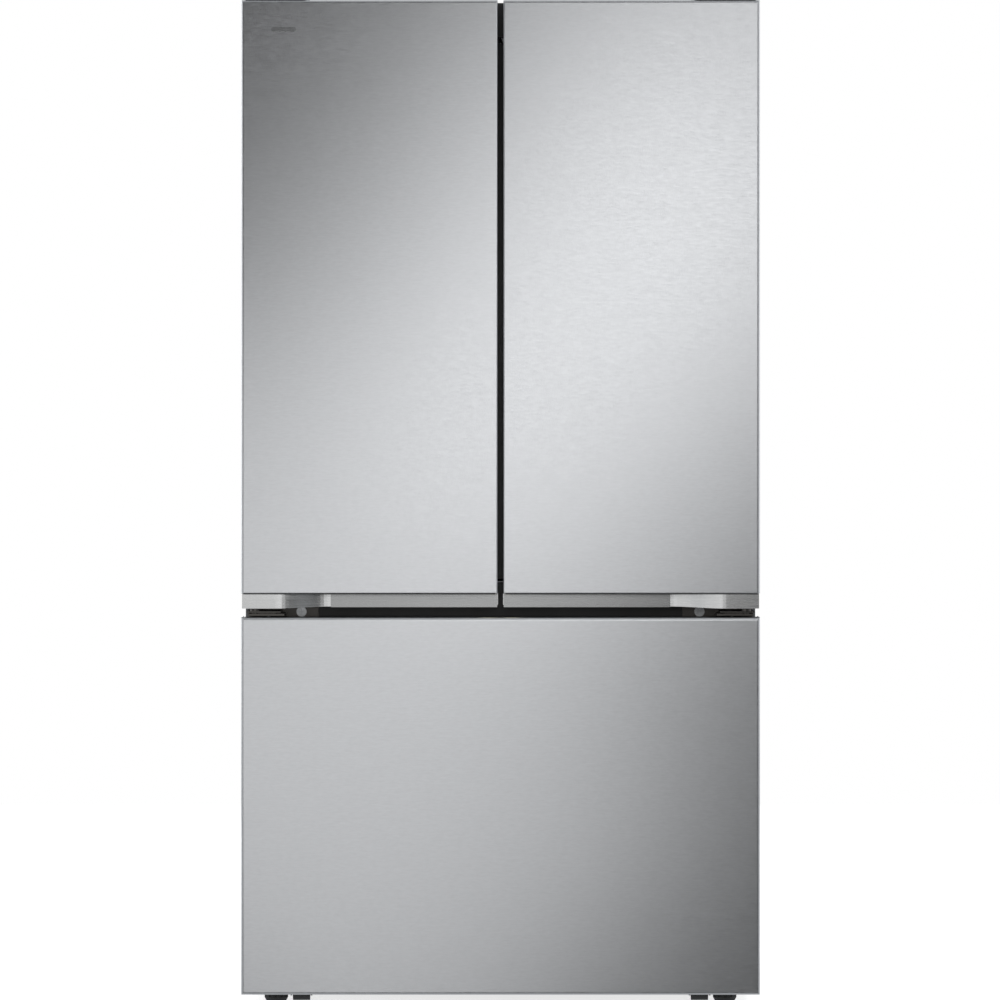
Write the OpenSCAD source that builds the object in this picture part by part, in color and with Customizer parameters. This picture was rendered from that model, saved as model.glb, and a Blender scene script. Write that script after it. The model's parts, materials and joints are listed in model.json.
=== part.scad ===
// French door refrigerator with a bottom freezer drawer and hidden grips.
// Millimetres. The front faces -Y, +Z is up, and the origin is on the floor under the middle.

/* [Overall size] */
// Width over the doors and the case
width = 908; // [750:1:1100]
// Depth from the door fronts to the rear spacers
depth = 733; // [680:1:880]
// Height of the case top above the floor
case_height = 1772; // [1450:1:2130]
// Height of the case underside above the floor
base_height = 42; // [40:1:52]
// How far the case sides stand in from the door sides
case_inset = 3; // [2:0.5:5]

/* [Doors and drawer front] */
// Thickness of the doors and of the drawer front
door_thickness = 76; // [63:1:92]
// Space between the door backs and the case, which the gaskets fill
gasket_gap = 12; // [10:1:15]
// Gap between the two upper doors
door_gap = 10; // [9:0.5:14]
// Height of the drawer front
drawer_height = 661; // [560:1:740]
// Clearance between the floor and the drawer front
floor_clearance = 26; // [20:1:30]
// Open gap between the drawer front and the upper doors
finger_gap = 15; // [14:0.5:18]
// Height of the satin strip under the door panels
strip_height = 26; // [22:1:31]
// How far the strip's lower edge rises over its curve
strip_rise = 3; // [0:0.5:4]
// How far the door tops lie below the case top
door_top_drop = 5; // [4:0.5:8]
// Bend radius of the outer panel edges
panel_bend = 5; // [3:0.5:6]
// Bend radius of the panel edges beside the centre gap and over the strip
inner_bend = 2.5; // [2:0.5:4]
// Width of a gasket
gasket_width = 18; // [14:1:22]
// How far the door liner's rim stands into the case
rim_height = 30; // [24:1:36]

/* [Grips] */
// Depth of the finger pockets
grip_depth = 26; // [22:1:31]
// How far the door pockets reach up behind the panels
grip_rise = 27; // [22:1:34]
// Where the strip starts to curve in, from the outer side of the door
grip_start = 59; // [50:1:70]
// Length of the curve into the pocket
grip_curve = 97; // [80:1:120]
// Solid end beside the drawer's pocket
drawer_grip_end = 112; // [95:1:140]
// Radius of the lower inner corners of the strips
strip_corner = 5; // [3:0.5:7]

/* [Case walls] */
// Foam and sheet at each side
side_wall = 45; // [38:1:54]
// Foam and sheet at the top
top_wall = 55; // [46:1:66]
// Foam and sheet at the back
back_wall = 60; // [50:1:72]
// Foam and sheet under the freezer
floor_wall = 45; // [40:1:54]
// Height of the divider between the two compartments
divider_height = 104; // [90:1:124]
// Depth of the machine compartment at the rear foot
machine_depth = 215; // [180:1:258]
// Top of the machine compartment above the floor
machine_top = 290; // [250:1:330]
// Stand-off of the rear spacers
spacer_depth = 10; // [8:1:14]
// Thickness of the liners
liner = 2; // [1.6:0.1:2.4]
// Sheet thickness
sheet = 1; // [0.8:0.1:1.2]
// Width of the sheet's front flange
flange = 15; // [12:1:18]

/* [Hinges] */
// Hinge axis from the outer side of the door
hinge_inset = 24; // [22:0.5:28]
// Hinge axis from the door front
hinge_setback = 16; // [14:0.5:18]
// Radius of the hinge pins
pin_r = 5; // [4:0.5:6]
// Running clearance round the hinge pins
pin_clear = 0.06; // [0.04:0.01:0.09]
// Thickness of the hinge plates
hinge_plate = 4; // [3:0.5:5]
// Height of the top hinge covers
cover_height = 17; // [14:1:22]

/* [Centre flap] */
// Width of the flap that seals behind the centre gap
flap_width = 62; // [52:1:70]
// Thickness of the flap
flap_thickness = 14; // [12:1:16]

/* [Shelves and bins] */
// Distance from the case front to the shelf fronts
shelf_setback = 130; // [118:1:150]
// Thickness of the glass
glass = 4; // [3:0.5:5]
// Height of the shelf frames
shelf_frame = 18; // [14:1:22]
// Height of the crisper drawers
crisper_height = 215; // [180:1:250]
// Wall of the bins and drawers
bin_wall = 3; // [2.5:0.1:3.6]
// Depth of the door baskets
basket_depth = 100; // [84:1:110]
// Height of the door baskets
basket_height = 105; // [88:1:126]
// Height of the freezer basket
freezer_basket_height = 235; // [195:1:270]
// Height of the upper freezer drawer
upper_drawer_height = 125; // [105:1:150]
// Clearance between the telescopic slides and the evaporator cover
slide_end_gap = 14.4; // [6:0.1:90]

/* [Feet] */
// Radius of the levelling feet
foot_r = 21; // [18:0.5:25]
// Radius of the foot's threaded shank
shank_r = 6; // [5:0.5:7]
// Radius of the front rollers
front_roller_r = 16; // [13:0.5:17]
// Radius of the rear rollers
rear_roller_r = 18; // [16:0.5:18]
// Width of the rollers
roller_width = 30; // [25:1:34]

/* [Hidden] */
$fn = 48;
eps = 1; // overshoot of a cut past the face it opens

// Stations across the depth
badge_proud = 0.6;
front = -depth / 2 + badge_proud;
door_back = front + door_thickness;
case_front = door_back + gasket_gap;
case_back = depth / 2 - spacer_depth;
machine_front = case_back - machine_depth;
liner_back = case_back - back_wall;
step_front = machine_front - back_wall + 15;

// Stations across the width
half = width / 2;
door_edge = door_gap / 2;
case_half = half - case_inset;
inside = case_half - side_wall;
face = case_half - flange;

// Stations up the height
drawer_top = floor_clearance + drawer_height;
strip_bottom = drawer_top + finger_gap;
panel_bottom = strip_bottom + strip_height;
door_top = case_height - door_top_drop;
rail_middle = (drawer_top + strip_bottom) / 2;
fridge_floor = rail_middle + divider_height / 2;
fridge_ceiling = case_height - top_wall;
freezer_ceiling = rail_middle - divider_height / 2;
freezer_floor = base_height + floor_wall;
step_top = machine_top + 40;

// Left hinge axis, mirrored for the right door
axis_x = -half + hinge_inset;
axis_y = front + hinge_setback;
hole_r = pin_r + pin_clear;

// Door build-up
cap_top = 24;
top_flange = 7;
strip_setback = 2;
hem = 4;
lip = 2;
gasket_side = hinge_inset + 2;
gasket_inner = 4;
gasket_end = 14;
rim_gap = 12;
rim_wall = 10;
rim_side = half - inside + rim_gap;
rim_inner = gasket_inner + gasket_width + 19;
rim_low = fridge_floor + rim_gap;
rim_high = fridge_ceiling - rim_gap;
rim_back = case_front + rim_height - gasket_gap;

// Flap
flap_left = -door_edge - gasket_inner - gasket_width - 11;
flap_axis_x = flap_left + 4;
flap_front = case_front + 0.5;
flap_axis_y = flap_front + flap_thickness / 2;
flap_pin_r = 2.5;
flap_low = fridge_floor + liner + 4;
flap_high = fridge_ceiling - liner - 14;

// Fridge inside
shelf_front = case_front + shelf_setback;
duct_depth = 20;
shelf_back = liner_back - liner - duct_depth - 2;
crisper_low = fridge_floor + liner + 7;
cover_low = crisper_low + crisper_height + 8;
cover_high = cover_low + shelf_frame;
shelf_pitch = (fridge_ceiling - liner - cover_high) / 3;

// Freezer inside
slide_z = step_top + 38;
slide_front = case_front + rim_height - gasket_gap + 8;
slide_height = 42;
basket_rim = slide_z - 10;
basket_low = basket_rim - freezer_basket_height;
upper_low = slide_z + 45;
upper_ledge = upper_low + 60;
evaporator_front = liner_back - liner - 52;

// Feet and rollers
foot_x = half - 55;
foot_y = case_front + 40;
roller_x = half - 100;
front_roller_z = front_roller_r + 2;
rear_roller_x = half - 70;
rear_roller_y = case_back - 48;
axle_r = 3;
wheel_clear = 0.08;

// ---------- shared shapes ----------

// A box between two corners
module block(lo, hi) {
    translate(lo) cube(hi - lo);
}

// Points of an arc
function arc(cx, cy, r, a0, a1, n = 6) =
    [for (i = [0:n]) let (a = a0 + (a1 - a0) * i / n) [cx + r * cos(a), cy + r * sin(a)]];

// Smooth step from 0 to 1
function ease(t) = t <= 0 ? 0 : t >= 1 ? 1 : t * t * (3 - 2 * t);

// A solid between two corners whose four front edges are rounded:
// a and b at the low and high X ends, c and d at the bottom and top
module front_form(lo, hi, a, b, c, d) {
    plan = concat([[lo.x, hi.y]], arc(lo.x + a, lo.y + a, a, 180, 270),
                  arc(hi.x - b, lo.y + b, b, 270, 360), [[hi.x, hi.y]]);
    side = concat([[hi.y, lo.z]], arc(lo.y + c, lo.z + c, c, 270, 180),
                  arc(lo.y + d, hi.z - d, d, 180, 90), [[hi.y, hi.z]]);
    intersection() {
        translate([0, 0, lo.z]) linear_extrude(hi.z - lo.z) polygon(plan);
        translate([lo.x, 0, 0]) rotate([90, 0, 90]) linear_extrude(hi.x - lo.x) polygon(side);
    }
}

// A sheet bent round the four front edges, with short folds at the top and bottom
module bent_panel(lo, hi, a, b, c, d, low_fold, high_fold) {
    difference() {
        front_form(lo, hi, a, b, c, d);
        front_form(lo + [sheet, sheet, sheet], hi + [-sheet, eps, -sheet],
                   a - sheet, b - sheet, c - sheet, d - sheet);
        block([lo.x + sheet, lo.y + low_fold, lo.z - eps], [hi.x - sheet, hi.y + eps, lo.z + sheet + eps]);
        block([lo.x + sheet, lo.y + high_fold, hi.z - sheet - eps], [hi.x - sheet, hi.y + eps, hi.z + eps]);
    }
}

// A rectangular ring in the XZ plane
module ring(lo, hi, wall) {
    difference() {
        block(lo, hi);
        block([lo.x + wall, lo.y - eps, lo.z + wall], [hi.x - wall, hi.y + eps, hi.z - wall]);
    }
}

// An open-topped bin between two corners
module bin(lo, hi, wall, front_rise = 0) {
    difference() {
        union() {
            block(lo, hi);
            block([lo.x, lo.y, lo.z], [hi.x, lo.y + wall, hi.z + front_rise]);
        }
        block(lo + [wall, wall, wall], [hi.x - wall, hi.y - wall, hi.z + front_rise + eps]);
    }
}

module on_both_sides() {
    children();
    mirror([1, 0, 0]) children();
}

module rod_x(x0, x1, y, z, r) {
    translate([x0, y, z]) rotate([0, 90, 0]) cylinder(r = r, h = x1 - x0);
}

module rod_y(x, y0, y1, z, r) {
    translate([x, y0, z]) rotate([-90, 0, 0]) cylinder(r = r, h = y1 - y0);
}

// A slotted screw head that stands on a face towards -Y (-1) or +Y (1)
module head_y(x, y, z, toward, r = 5, tall = 3) {
    translate([x, y, z]) rotate([toward * -90, 0, 0]) difference() {
        cylinder(r = r, h = tall);
        translate([0, 0, tall]) for (a = [0, 90])
            rotate([0, 0, a]) cube([r * 1.2, 1.2, 2.4], center = true);
    }
}

// ---------- the case ----------

module cabinet_shell() {
    color("#5b5d60") difference() {
        block([-case_half, case_front, base_height], [case_half, case_back, case_height]);
        block([-case_half + sheet, case_front + sheet, base_height - eps],
              [case_half - sheet, case_back + eps, case_height - sheet]);
        block([-face, case_front - eps, base_height - eps], [face, case_front + 2 * eps, case_height - flange]);
    }
}

rib_x = [-0.275, 0, 0.275] * width;
rib_width = 90;
rib_proud = 3;

module rear_panel() {
    low = machine_top + 110;
    high = case_height - 150;
    color("#77797c") difference() {
        union() {
            block([-case_half + sheet, case_back - sheet, machine_top - sheet],
                  [case_half - sheet, case_back, case_height - sheet]);
            for (x = rib_x)
                block([x - rib_width / 2, case_back - sheet, low], [x + rib_width / 2, case_back + rib_proud, high]);
        }
        for (x = rib_x)
            block([x - rib_width / 2 + sheet, case_back - 2 * sheet, low + sheet],
                  [x + rib_width / 2 - sheet, case_back + rib_proud - sheet, high - sheet]);
    }
    color("#2c2d2f") for (x = [-half + 70, half - 70], z = [machine_top + 40, case_height - 60])
        rod_y(x, case_back, case_back + spacer_depth, z, 12);
}

// The freezer's stepped space, shrunk by t on every wall
module freezer_space(t) {
    mouth = case_front - (t > 0 ? eps : 0);
    block([-inside + t, mouth, freezer_floor + t], [inside - t, step_front - t, freezer_ceiling - t]);
    block([-inside + t, mouth, step_top + t], [inside - t, liner_back - t, freezer_ceiling - t]);
}

module cabinet_foam() {
    color("#e6d9a8") difference() {
        block([-case_half + sheet, case_front + liner, base_height + 2 * sheet],
              [case_half - sheet, case_back - sheet, case_height - sheet]);
        block([-inside, case_front, fridge_floor], [inside, liner_back, fridge_ceiling]);
        freezer_space(0);
        block([-half, machine_front, 0], [half, case_back, machine_top]);
        on_both_sides() block([foot_x - 16, case_front, 0], [foot_x + 16, foot_y + 16, base_height + leg_room]);
    }
}

// Ledge along the side walls of a liner, whose top is at z
module side_ledge(z, reach, y0, y1, tall = 6) {
    on_both_sides() block([inside - liner - reach, y0, z - tall], [inside - liner, y1, z]);
}

module fridge_liner() {
    color("#f2f3f3") {
        difference() {
            union() {
                block([-inside, case_front, fridge_floor], [inside, liner_back, fridge_ceiling]);
                block([-face, case_front, fridge_floor], [face, case_front + liner, case_height - flange]);
            }
            block([-inside + liner, case_front - eps, fridge_floor + liner],
                  [inside - liner, liner_back - liner, fridge_ceiling - liner]);
        }
        side_ledge(cover_low, 10, shelf_front, shelf_back);
        for (x = [16, inside - liner - 40])
            on_both_sides() block([x, shelf_front + 20, fridge_floor + liner], [x + 12, shelf_back - 20, crisper_low]);
    }
}

module freezer_liner() {
    color("#f2f3f3") {
        difference() {
            union() {
                freezer_space(0);
                block([-face, case_front, base_height + flange], [face, case_front + liner, freezer_ceiling]);
            }
            freezer_space(liner);
        }
        side_ledge(upper_ledge, 24, slide_front, evaporator_front - 6);
    }
}

module centre_rail() {
    color("#1b1c1e") difference() {
        block([-face, case_front, freezer_ceiling], [face, case_front + liner, fridge_floor]);
        on_both_sides() for (p = hinge_screws)
            rod_y(p.x, case_front - eps, case_front + liner + eps, p.y, screw_r + 0.1);
    }
}

// Two cheeks and an axle under the base plate
module roller_bracket(x, y, z) {
    cheek = 3;
    gap = roller_width / 2 + 1.5;
    for (x0 = [x - gap - cheek, x + gap])
        block([x0, y - 9, z - 7], [x0 + cheek, y + 9, base_height]);
    rod_x(x - gap - cheek, x + gap + cheek, y, z, axle_r);
}

module base_frame() {
    floor_z = base_height + 2 * sheet;
    color("#8e9194") {
        difference() {
            union() {
                block([-case_half + sheet, case_front + liner, base_height], [case_half - sheet, case_back - sheet, floor_z]);
                block([-face, case_front, base_height], [face, case_front + liner, base_height + flange]);
                on_both_sides() translate([foot_x, foot_y, base_height - 10]) cylinder(r = 12, h = 20);
            }
            on_both_sides() translate([foot_x, foot_y, 0]) cylinder(r = shank_r + pin_clear, h = 2 * base_height);
        }
        difference() {
            block([-case_half + sheet, machine_front, floor_z], [case_half - sheet, case_back - sheet, machine_top]);
            block([-half, machine_front + sheet, floor_z - eps], [half, case_back, machine_top - sheet]);
        }
        on_both_sides() {
            roller_bracket(roller_x, foot_y, front_roller_z);
            roller_bracket(rear_roller_x, rear_roller_y, rear_roller_r);
        }
    }
}

cover_slot = [60, 7];
cover_step = [82, 18];

module machine_cover() {
    low = base_height + 2 * sheet;
    high = machine_top - 2 * sheet;
    rows = floor((high - low - 90) / cover_step.y);
    color("#2e3033") difference() {
        union() {
            block([-case_half + 14, case_back - sheet, low], [case_half - 14, case_back, high]);
            block([-case_half + 34, case_back - sheet, low + 24], [case_half - 34, case_back + 4, high - 24]);
        }
        block([-case_half + 34 + sheet, case_back - 2 * sheet, low + 24 + sheet],
              [case_half - 34 - sheet, case_back + 4 - sheet, high - 24 - sheet]);
        for (column = [-4:4], row = [0:rows])
            if (abs(column) > 0)
                translate([column * cover_step.x, case_back - 2, low + 45 + row * cover_step.y])
                    block([-cover_slot.x / 2, 0, 0], [cover_slot.x / 2, 8, cover_slot.y]);
    }
}

// ---------- the cooling circuit ----------

compressor_x = -half + 190;
machine_y = machine_front + machine_depth / 2 - 4;
machine_floor = base_height + 2 * sheet;

module compressor() {
    can = concat([[0, 0]], arc(46, 24, 24, -90, 0), arc(46, 76, 24, 0, 52), arc(0, 18, 98, 51, 90, 8));
    color("#1d1e20") translate([compressor_x, machine_y, machine_floor]) {
        for (sx = [-1, 1], sy = [-1, 1])
            translate([sx * 62, sy * 48, 0]) cylinder(r = 10, h = 14);
        block([-80, -62, 14], [80, 62, 18]);
        translate([0, 0, 18]) rotate_extrude() polygon(can);
        block([54, -22, 40], [88, 22, 90]);
    }
    color("#b5672f") {
        translate([compressor_x - 20, machine_y, machine_floor + 120]) cylinder(r = 4, h = 40);
        translate([compressor_x - 20, machine_y + 24, machine_floor + 110]) cylinder(r = 4, h = 50);
    }
}

fan_x = 190;
fan_z = machine_floor + 93;
fan_r = 58;
fan_hub_r = 17;
duct_r = fan_r + 6;

// Blades between a hub and a tip radius, turning about +Z
module fan_wheel(count, hub, tip, chord, pitch, tall) {
    difference() {
        union() {
            cylinder(r = hub, h = tall);
            for (i = [0:count - 1])
                rotate([0, 0, i * 360 / count]) translate([hub - 3, 0, tall / 2]) rotate([pitch, 0, 0])
                    translate([0, -chord / 2, -1]) cube([tip - hub, chord, 2]);
        }
        translate([0, 0, -eps]) cylinder(r = axle_r + wheel_clear, h = tall - 3 + eps);
    }
}

module condenser() {
    fins = 14;
    color("#3b3d40") translate([fan_x, machine_y, machine_floor]) {
        for (i = [0:fins - 1])
            block([i * 8 - 150, -62, 14], [i * 8 - 148.8, 62, 140]);
        for (row = [0:4], side = [-1, 0, 1])
            rod_x(-158, -42, side * 42, 28 + row * 25, 4);
        block([-156, -70, 0], [-24, 70, 14]);
        difference() {
            block([-24, -76, 0], [22, 76, shroud_height]);
            block([-20, -72, 4], [22 + eps, 72, shroud_height - 4]);
            rod_x(-30, 30, 0, fan_z - machine_floor, duct_r);
        }
        for (a = [0:3])
            translate([-23, 0, fan_z - machine_floor]) rotate([a * 90 + 45, 0, 0]) block([0, -3, 12], [2, 3, duct_r + 4]);
        rod_x(-34, -8, 0, fan_z - machine_floor, 16);
        rod_x(-8, 12, 0, fan_z - machine_floor, axle_r);
    }
}

shroud_height = 176;

module condenser_fan() {
    color("#202124") translate([fan_x - 4, machine_y, fan_z]) rotate([0, 90, 0])
        fan_wheel(7, fan_hub_r, fan_r, 24, 32, 20);
}

module drain_pan() {
    low = machine_floor + shroud_height;
    color("#3a3b3e") {
        bin([compressor_x - 60, machine_y - 82, low], [fan_x + 15, machine_y + 82, low + 38], 2.5);
        block([compressor_x - 60, machine_y - 6, machine_floor + 150], [compressor_x - 52, machine_y + 6, low]);
    }
}

evaporator_low = step_top + liner + 12;
evaporator_half = 300;

module evaporator() {
    fins = 25;
    pitch = (2 * evaporator_half - 24) / (fins - 1);
    color("#c9ccce") {
        for (i = [0:fins - 1]) {
            x = -evaporator_half + 12 + i * pitch;
            end = i == 0 || i == fins - 1 ? 0 : 4;
            block([x, evaporator_front + 12, evaporator_low], [x + 1, liner_back - liner - end, evaporator_low + 130]);
        }
        for (row = [0:3], side = [0, 1])
            rod_x(-evaporator_half, evaporator_half, evaporator_front + 22 + side * 16, evaporator_low + 22 + row * 28, 4);
    }
}

cold_fan_z = freezer_ceiling - 78;
cold_fan_r = 46;

module evaporator_cover() {
    low = step_top + liner + 2;
    high = freezer_ceiling - liner - 2;
    color("#eceded") {
        difference() {
            block([-inside + liner, evaporator_front, low], [inside - liner, evaporator_front + 3, high]);
            for (i = [-4:4], z = [high - 40, low + 20])
                if (abs(i) > 0)
                    block([i * 75 - 26, evaporator_front - eps, z], [i * 75 + 26, evaporator_front + 4, z + 10]);
            rod_y(0, evaporator_front - eps, evaporator_front + 4, cold_fan_z, cold_fan_r + 4);
        }
        for (a = [0:11])
            translate([0, evaporator_front, cold_fan_z]) rotate([0, a * 30, 0]) block([-1.5, 0, 18], [1.5, 3, cold_fan_r + 6]);
        for (r = [20, 34])
            translate([0, evaporator_front, cold_fan_z]) rotate([-90, 0, 0]) difference() {
                cylinder(r = r, h = 3);
                translate([0, 0, -eps]) cylinder(r = r - 3, h = 3 + 2 * eps);
            }
        rod_y(0, evaporator_front, evaporator_front + 14, cold_fan_z, 18);
        rod_y(0, evaporator_front + 14, evaporator_front + 32, cold_fan_z, axle_r);
    }
}

module evaporator_fan() {
    color("#d5d8da") translate([0, evaporator_front + 18, cold_fan_z]) rotate([-90, 0, 0])
        fan_wheel(5, 14, cold_fan_r, 22, 30, 18);
}

module air_duct() {
    half_w = 105;
    low = cover_high + 12;
    high = fridge_ceiling - liner - 30;
    y = liner_back - liner;
    color("#dfe1e3") difference() {
        block([-half_w, y - duct_depth, low], [half_w, y, high]);
        block([-half_w + 3, y - duct_depth + 3, low + 3], [half_w - 3, y - 3, high - 3]);
        for (level = [0:2], side = [-1, 1], row = [0, 1])
            translate([side * 55, y - duct_depth - eps, low + shelf_pitch * (level + 0.58) + row * 14])
                block([-30, 0, 0], [30, 5, 6]);
    }
}

lamp_half = 150;

module ceiling_housing() {
    z = fridge_ceiling - liner;
    color("#eef0f0") difference() {
        block([-lamp_half - 30, shelf_front - 36, z - 24], [lamp_half + 30, shelf_front + 90, z]);
        block([-lamp_half - 27, shelf_front - 33, z - 21], [lamp_half + 27, shelf_front + 87, z + eps]);
        block([-lamp_half, shelf_front + 10, z - 25], [lamp_half, shelf_front + 70, z - 20]);
    }
}

module ceiling_lamp() {
    z = fridge_ceiling - liner;
    color("#ffffff") difference() {
        union() {
            block([-lamp_half, shelf_front + 10, z - 24], [lamp_half, shelf_front + 70, z - 20]);
            block([-lamp_half - 4, shelf_front + 6, z - 21], [lamp_half + 4, shelf_front + 74, z - 18]);
        }
        block([-lamp_half + 3, shelf_front + 13, z - 21], [lamp_half - 3, shelf_front + 67, z]);
    }
}

// ---------- hinges and screws ----------

// Places of the middle hinge screws, with the radius of each head
hinge_screws = [[half - 102, rail_middle, 9], [half - 44, drawer_top - 5, 5]];
screw_r = 2.9;
washer_r = 13;
tab_half = 10;
top_screws = [[34, 40], [60, 74], [86, 40]];

module top_hinges() {
    z = case_height;
    pin_low = door_top - cap_top + 4;
    color("#6f7275") on_both_sides() {
        difference() {
            union() {
                block([-half + 10, axis_y - tab_half, z], [-half + 60, case_front + 20, z + hinge_plate]);
                block([-half + 10, case_front + 6, z], [-half + 104, case_front + 92, z + hinge_plate]);
            }
            for (p = top_screws)
                translate([-half + p.x, case_front + p.y, z - eps]) cylinder(r = screw_r + 0.1, h = hinge_plate + 2 * eps);
        }
        translate([axis_x, axis_y, pin_low]) cylinder(r = pin_r, h = z + eps - pin_low);
    }
}

module hinge_covers() {
    wall = 2.5;
    lo = [-half + 5, axis_y - tab_half - 1.2 * wall, case_height];
    hi = [-half + 112, case_front + 100, case_height + cover_height];
    color("#4b4d50") on_both_sides() difference() {
        front_form(lo, hi, 5, 5, 0.5, 5);
        front_form(lo + [wall, wall, -eps], hi - [wall, wall, wall], 2.5, 2.5, 0.5, 2.5);
    }
}

module middle_hinges() {
    plate_z = drawer_top + 2;
    leaf = 3;
    low = plate_z - 14;
    high = strip_bottom + 11;
    nose = axis_y - tab_half + 2;
    color("#66686b") on_both_sides() {
        difference() {
            block([-half + 9, case_front - leaf, low], [-half + 132, case_front, high]);
            for (p = hinge_screws)
                rod_y(-p.x, case_front - leaf - eps, case_front + eps, p.y, screw_r + 0.1);
        }
        block([-half + 11, nose, plate_z], [-half + 75, case_front, plate_z + hinge_plate]);
        block([-half + 8, nose + 2, plate_z + hinge_plate + 1.5], [-half + 69, case_front, plate_z + 2 * hinge_plate]);
        block([-half + 22, nose + 6, plate_z + hinge_plate], [-half + 60, case_front, plate_z + hinge_plate + 1.5]);
        translate([axis_x, axis_y, plate_z]) cylinder(r = pin_r, h = strip_bottom + 17 - plate_z);
        translate([axis_x, axis_y, plate_z + 2 * hinge_plate])
            cylinder(r = washer_r - 4, h = strip_bottom - 0.3 - plate_z - 2 * hinge_plate);
    }
}

module case_screws() {
    color("#b9bcbf") on_both_sides() {
        for (p = hinge_screws) {
            rod_y(p.x, case_front - 3, case_front + liner, p.y, screw_r);
            head_y(p.x, case_front - 3, p.y, -1, p.z, 4);
        }
        for (z = [base_height + 20, machine_top - 14])
            head_y(case_half - 24, case_back, z, 1);
        for (p = top_screws)
            translate([half - p.x, case_front + p.y, case_height]) {
                cylinder(r = screw_r, h = hinge_plate);
                translate([0, 0, hinge_plate]) cylinder(r = 5, h = 3);
            }
    }
}

// ---------- feet and rollers ----------

leg_room = 26;

module right_levelling_leg() {
    knob = 15;
    flutes = 12;
    color("#17181a") translate([foot_x, foot_y, 0]) {
        difference() {
            union() {
                cylinder(r1 = foot_r - 4, r2 = foot_r, h = 8);
                translate([0, 0, 8]) cylinder(r = foot_r, h = knob - 8);
                translate([0, 0, knob]) cylinder(r = 10, h = 5);
            }
            for (i = [0:flutes - 1])
                rotate([0, 0, i * 360 / flutes]) translate([foot_r + 1, 0, 9.5]) cylinder(r = 2.6, h = knob);
        }
        translate([0, 0, knob]) cylinder(r = shank_r, h = base_height + 20 - knob);
    }
}

module left_levelling_leg() {
    mirror([1, 0, 0]) right_levelling_leg();
}

module roller(x, y, z, r) {
    translate([x, y, z]) rotate([0, 90, 0]) difference() {
        cylinder(r = r, h = roller_width, center = true);
        cylinder(r = axle_r + wheel_clear, h = roller_width + 2, center = true);
        for (s = [-1, 1])
            translate([0, 0, s * roller_width / 2]) difference() {
                cylinder(r = r - 3, h = 4, center = true);
                cylinder(r = axle_r + 3, h = 5, center = true);
            }
    }
}

module front_rollers() {
    color("#222325") on_both_sides() roller(roller_x, foot_y, front_roller_z, front_roller_r);
}

module rear_rollers() {
    color("#222325") on_both_sides() roller(rear_roller_x, rear_roller_y, rear_roller_r, rear_roller_r);
}

// ---------- fridge inside ----------

// Side (-1 left, 1 right) and height step of each half shelf
half_shelves = [[-1, 1], [1, 0.86], [-1, 2], [1, 1.86]];
rim = 3;
seat = 14;
rail_x = [130, inside - liner - 36];
rail_width = 16;

// Boxes of the half shelves and, last, of the shelf over the crispers
shelf_boxes = concat(
    [for (h = half_shelves) let (z = cover_high + shelf_pitch * h[1] - shelf_frame, w = inside - liner - 4)
        h[0] < 0 ? [[-w, shelf_front, z], [-4, shelf_back, z + shelf_frame]]
                 : [[4, shelf_front, z], [w, shelf_back, z + shelf_frame]]],
    [[[-inside + liner + 1, shelf_front, cover_low], [inside - liner - 1, shelf_back, cover_high]]]);

module pane(b) {
    block([b[0].x + rim, b[0].y + rim, b[1].z - glass - 1], [b[1].x - rim, b[1].y - rim, b[1].z - 1]);
}

module shelf_frames() {
    color("#e8eaeb") {
        for (b = shelf_boxes)
            difference() {
                block(b[0], b[1]);
                block([b[0].x + rim, b[0].y + rim, b[1].z - glass - 1], [b[1].x - rim, b[1].y - rim, b[1].z + eps]);
                block([b[0].x + seat, b[0].y + seat, b[0].z - eps], [b[1].x - seat, b[1].y - seat, b[1].z]);
            }
        for (h = half_shelves, x = rail_x) {
            z = cover_high + shelf_pitch * h[1] - shelf_frame;
            block([h[0] * x - 2, shelf_back - seat, z - 26], [h[0] * x + 2, shelf_back + 2, z + 6]);
        }
        block([-rim, shelf_front + seat, cover_low - 10], [rim, shelf_back - seat, cover_high - glass - 1]);
    }
}

module shelf_panes() {
    color("#cfe3e0", 0.5) for (b = shelf_boxes) pane(b);
}

module shelf_rails() {
    low = cover_high + 40;
    high = fridge_ceiling - liner - 60;
    slots = floor((high - low) / 28) - 1;
    color("#d4d7d9") on_both_sides() for (x = rail_x)
        difference() {
            block([x - rail_width / 2, shelf_back + 2, low], [x + rail_width / 2, liner_back - liner, high]);
            block([x - rail_width / 2 + 2, shelf_back + 4, low - eps], [x + rail_width / 2 - 2, liner_back, high + eps]);
            for (i = [0:slots])
                block([x - 2.5, shelf_back + 1, low + 14 + i * 28], [x + 2.5, shelf_back + 5, low + 30 + i * 28]);
        }
}

module crispers() {
    x0 = rim + 3;
    x1 = inside - liner - 12;
    high = crisper_low + crisper_height - 4;
    grip = (x1 - x0) / 2 - 54;
    middle = (x0 + x1) / 2;
    color("#dfe6ea", 0.7) on_both_sides() {
        difference() {
            bin([x0, shelf_front + 6, crisper_low], [x1, shelf_back - 8, high], bin_wall);
            block([middle - grip, shelf_front, high - 36], [middle + grip, shelf_front + 6 + bin_wall + eps, high + eps]);
        }
        block([middle - grip, shelf_front - 6, high - 42], [middle + grip, shelf_front + 6 + bin_wall, high - 36]);
    }
}

// Radius that the flap's guide pin runs at
guide_r = 30;
guide_pin_r = 4;

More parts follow.
